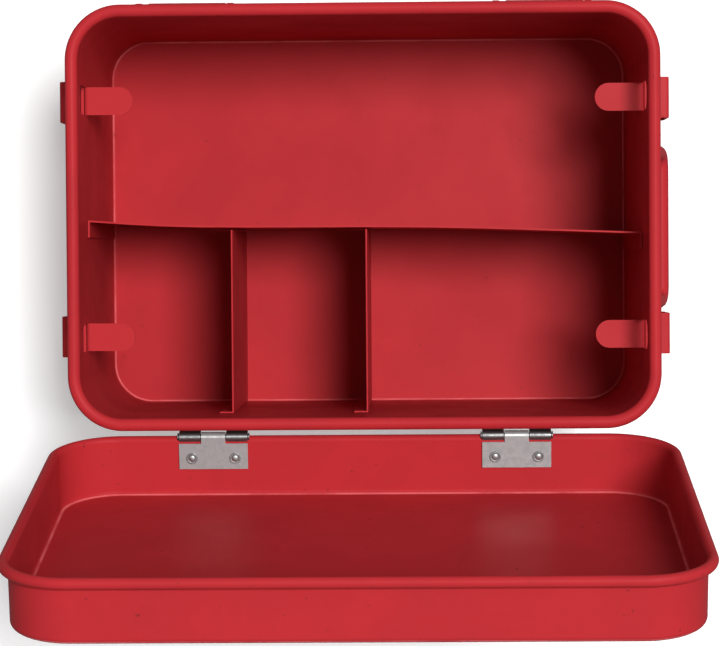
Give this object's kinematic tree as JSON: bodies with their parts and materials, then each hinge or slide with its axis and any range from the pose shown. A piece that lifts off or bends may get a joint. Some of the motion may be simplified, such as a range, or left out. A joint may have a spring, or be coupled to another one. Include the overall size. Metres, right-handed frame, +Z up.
{
  "type": "toolbox with tray",
  "caption": "Pressed-steel toolbox with rolled rims, hinged lid, inner partition, tray supports, over-centre latches, strap loops and a bail handle.",
  "frame": {"origin": "middle of the underside of the box", "axes": "+Z up out of the open box, +Y towards the hinges, -Y towards the latches, -X towards the handle"},
  "size_m": [0.365, 0.3413, 0.4178],
  "materials": {
    "body": "satin red enamel over sheet steel",
    "lid": "satin red enamel over sheet steel",
    "partition": "satin red enamel over sheet steel",
    "strap_loops": "satin red enamel over sheet steel",
    "handle": "satin red enamel over sheet steel",
    "latches": "satin red enamel over sheet steel",
    "hinge_steel": "brushed, dulled",
    "rivets": "plain domed",
    "latch_pins": "plain"
  },
  "bodies": {
    "case": {"body_shell": "body", "long_divider": "partition", "short_divider_middle": "partition", "short_divider_outer": "partition", "strap_loop_left_front": "strap_loops", "strap_loop_left_rear": "strap_loops", "strap_loop_right_front": "strap_loops", "strap_loop_right_rear": "strap_loops", "handle_lug_front": "handle", "handle_lug_rear": "handle", "hinge_body_leaf_left": "hinge_steel", "hinge_body_leaf_right": "hinge_steel", "hinge_pin_left": "hinge_steel", "hinge_pin_right": "hinge_steel", "latch_base_left": "latches", "latch_base_right": "latches", "latch_pin_left": "latch_pins", "latch_pin_right": "latch_pins"},
    "lid": {"lid_shell": "lid", "hinge_lid_leaf_left": "hinge_steel", "hinge_lid_leaf_right": "hinge_steel", "hinge_rivet_left_outer": "rivets", "hinge_rivet_left_inner": "rivets", "hinge_rivet_right_outer": "rivets", "hinge_rivet_right_inner": "rivets"},
    "handle": {"handle_bail": "handle"},
    "latch_left": {"latch_lever_left": "latches"},
    "latch_right": {"latch_lever_right": "latches"}
  },
  "joints": [
    {"name": "lid_hinge", "type": "hinge", "parent": "case", "child": "lid", "pos_m": [0, 0.1277, 0.166], "axis": [1, 0, 0], "range_deg": [0, 101.7]},
    {"name": "handle_pivot", "type": "hinge", "parent": "case", "child": "handle", "pos_m": [-0.171, 0.00665, 0.129], "axis": [0, 1, 0], "range_deg": [0, 120]},
    {"name": "latch_left_pivot", "type": "hinge", "parent": "case", "child": "latch_left", "pos_m": [-0.1061, -0.1241, 0.129], "axis": [-1, 0, 0], "range_deg": [0, 177.5]},
    {"name": "latch_right_pivot", "type": "hinge", "parent": "case", "child": "latch_right", "pos_m": [0.1061, -0.1241, 0.129], "axis": [-1, 0, 0], "range_deg": [0, 177.5]}
  ]
}
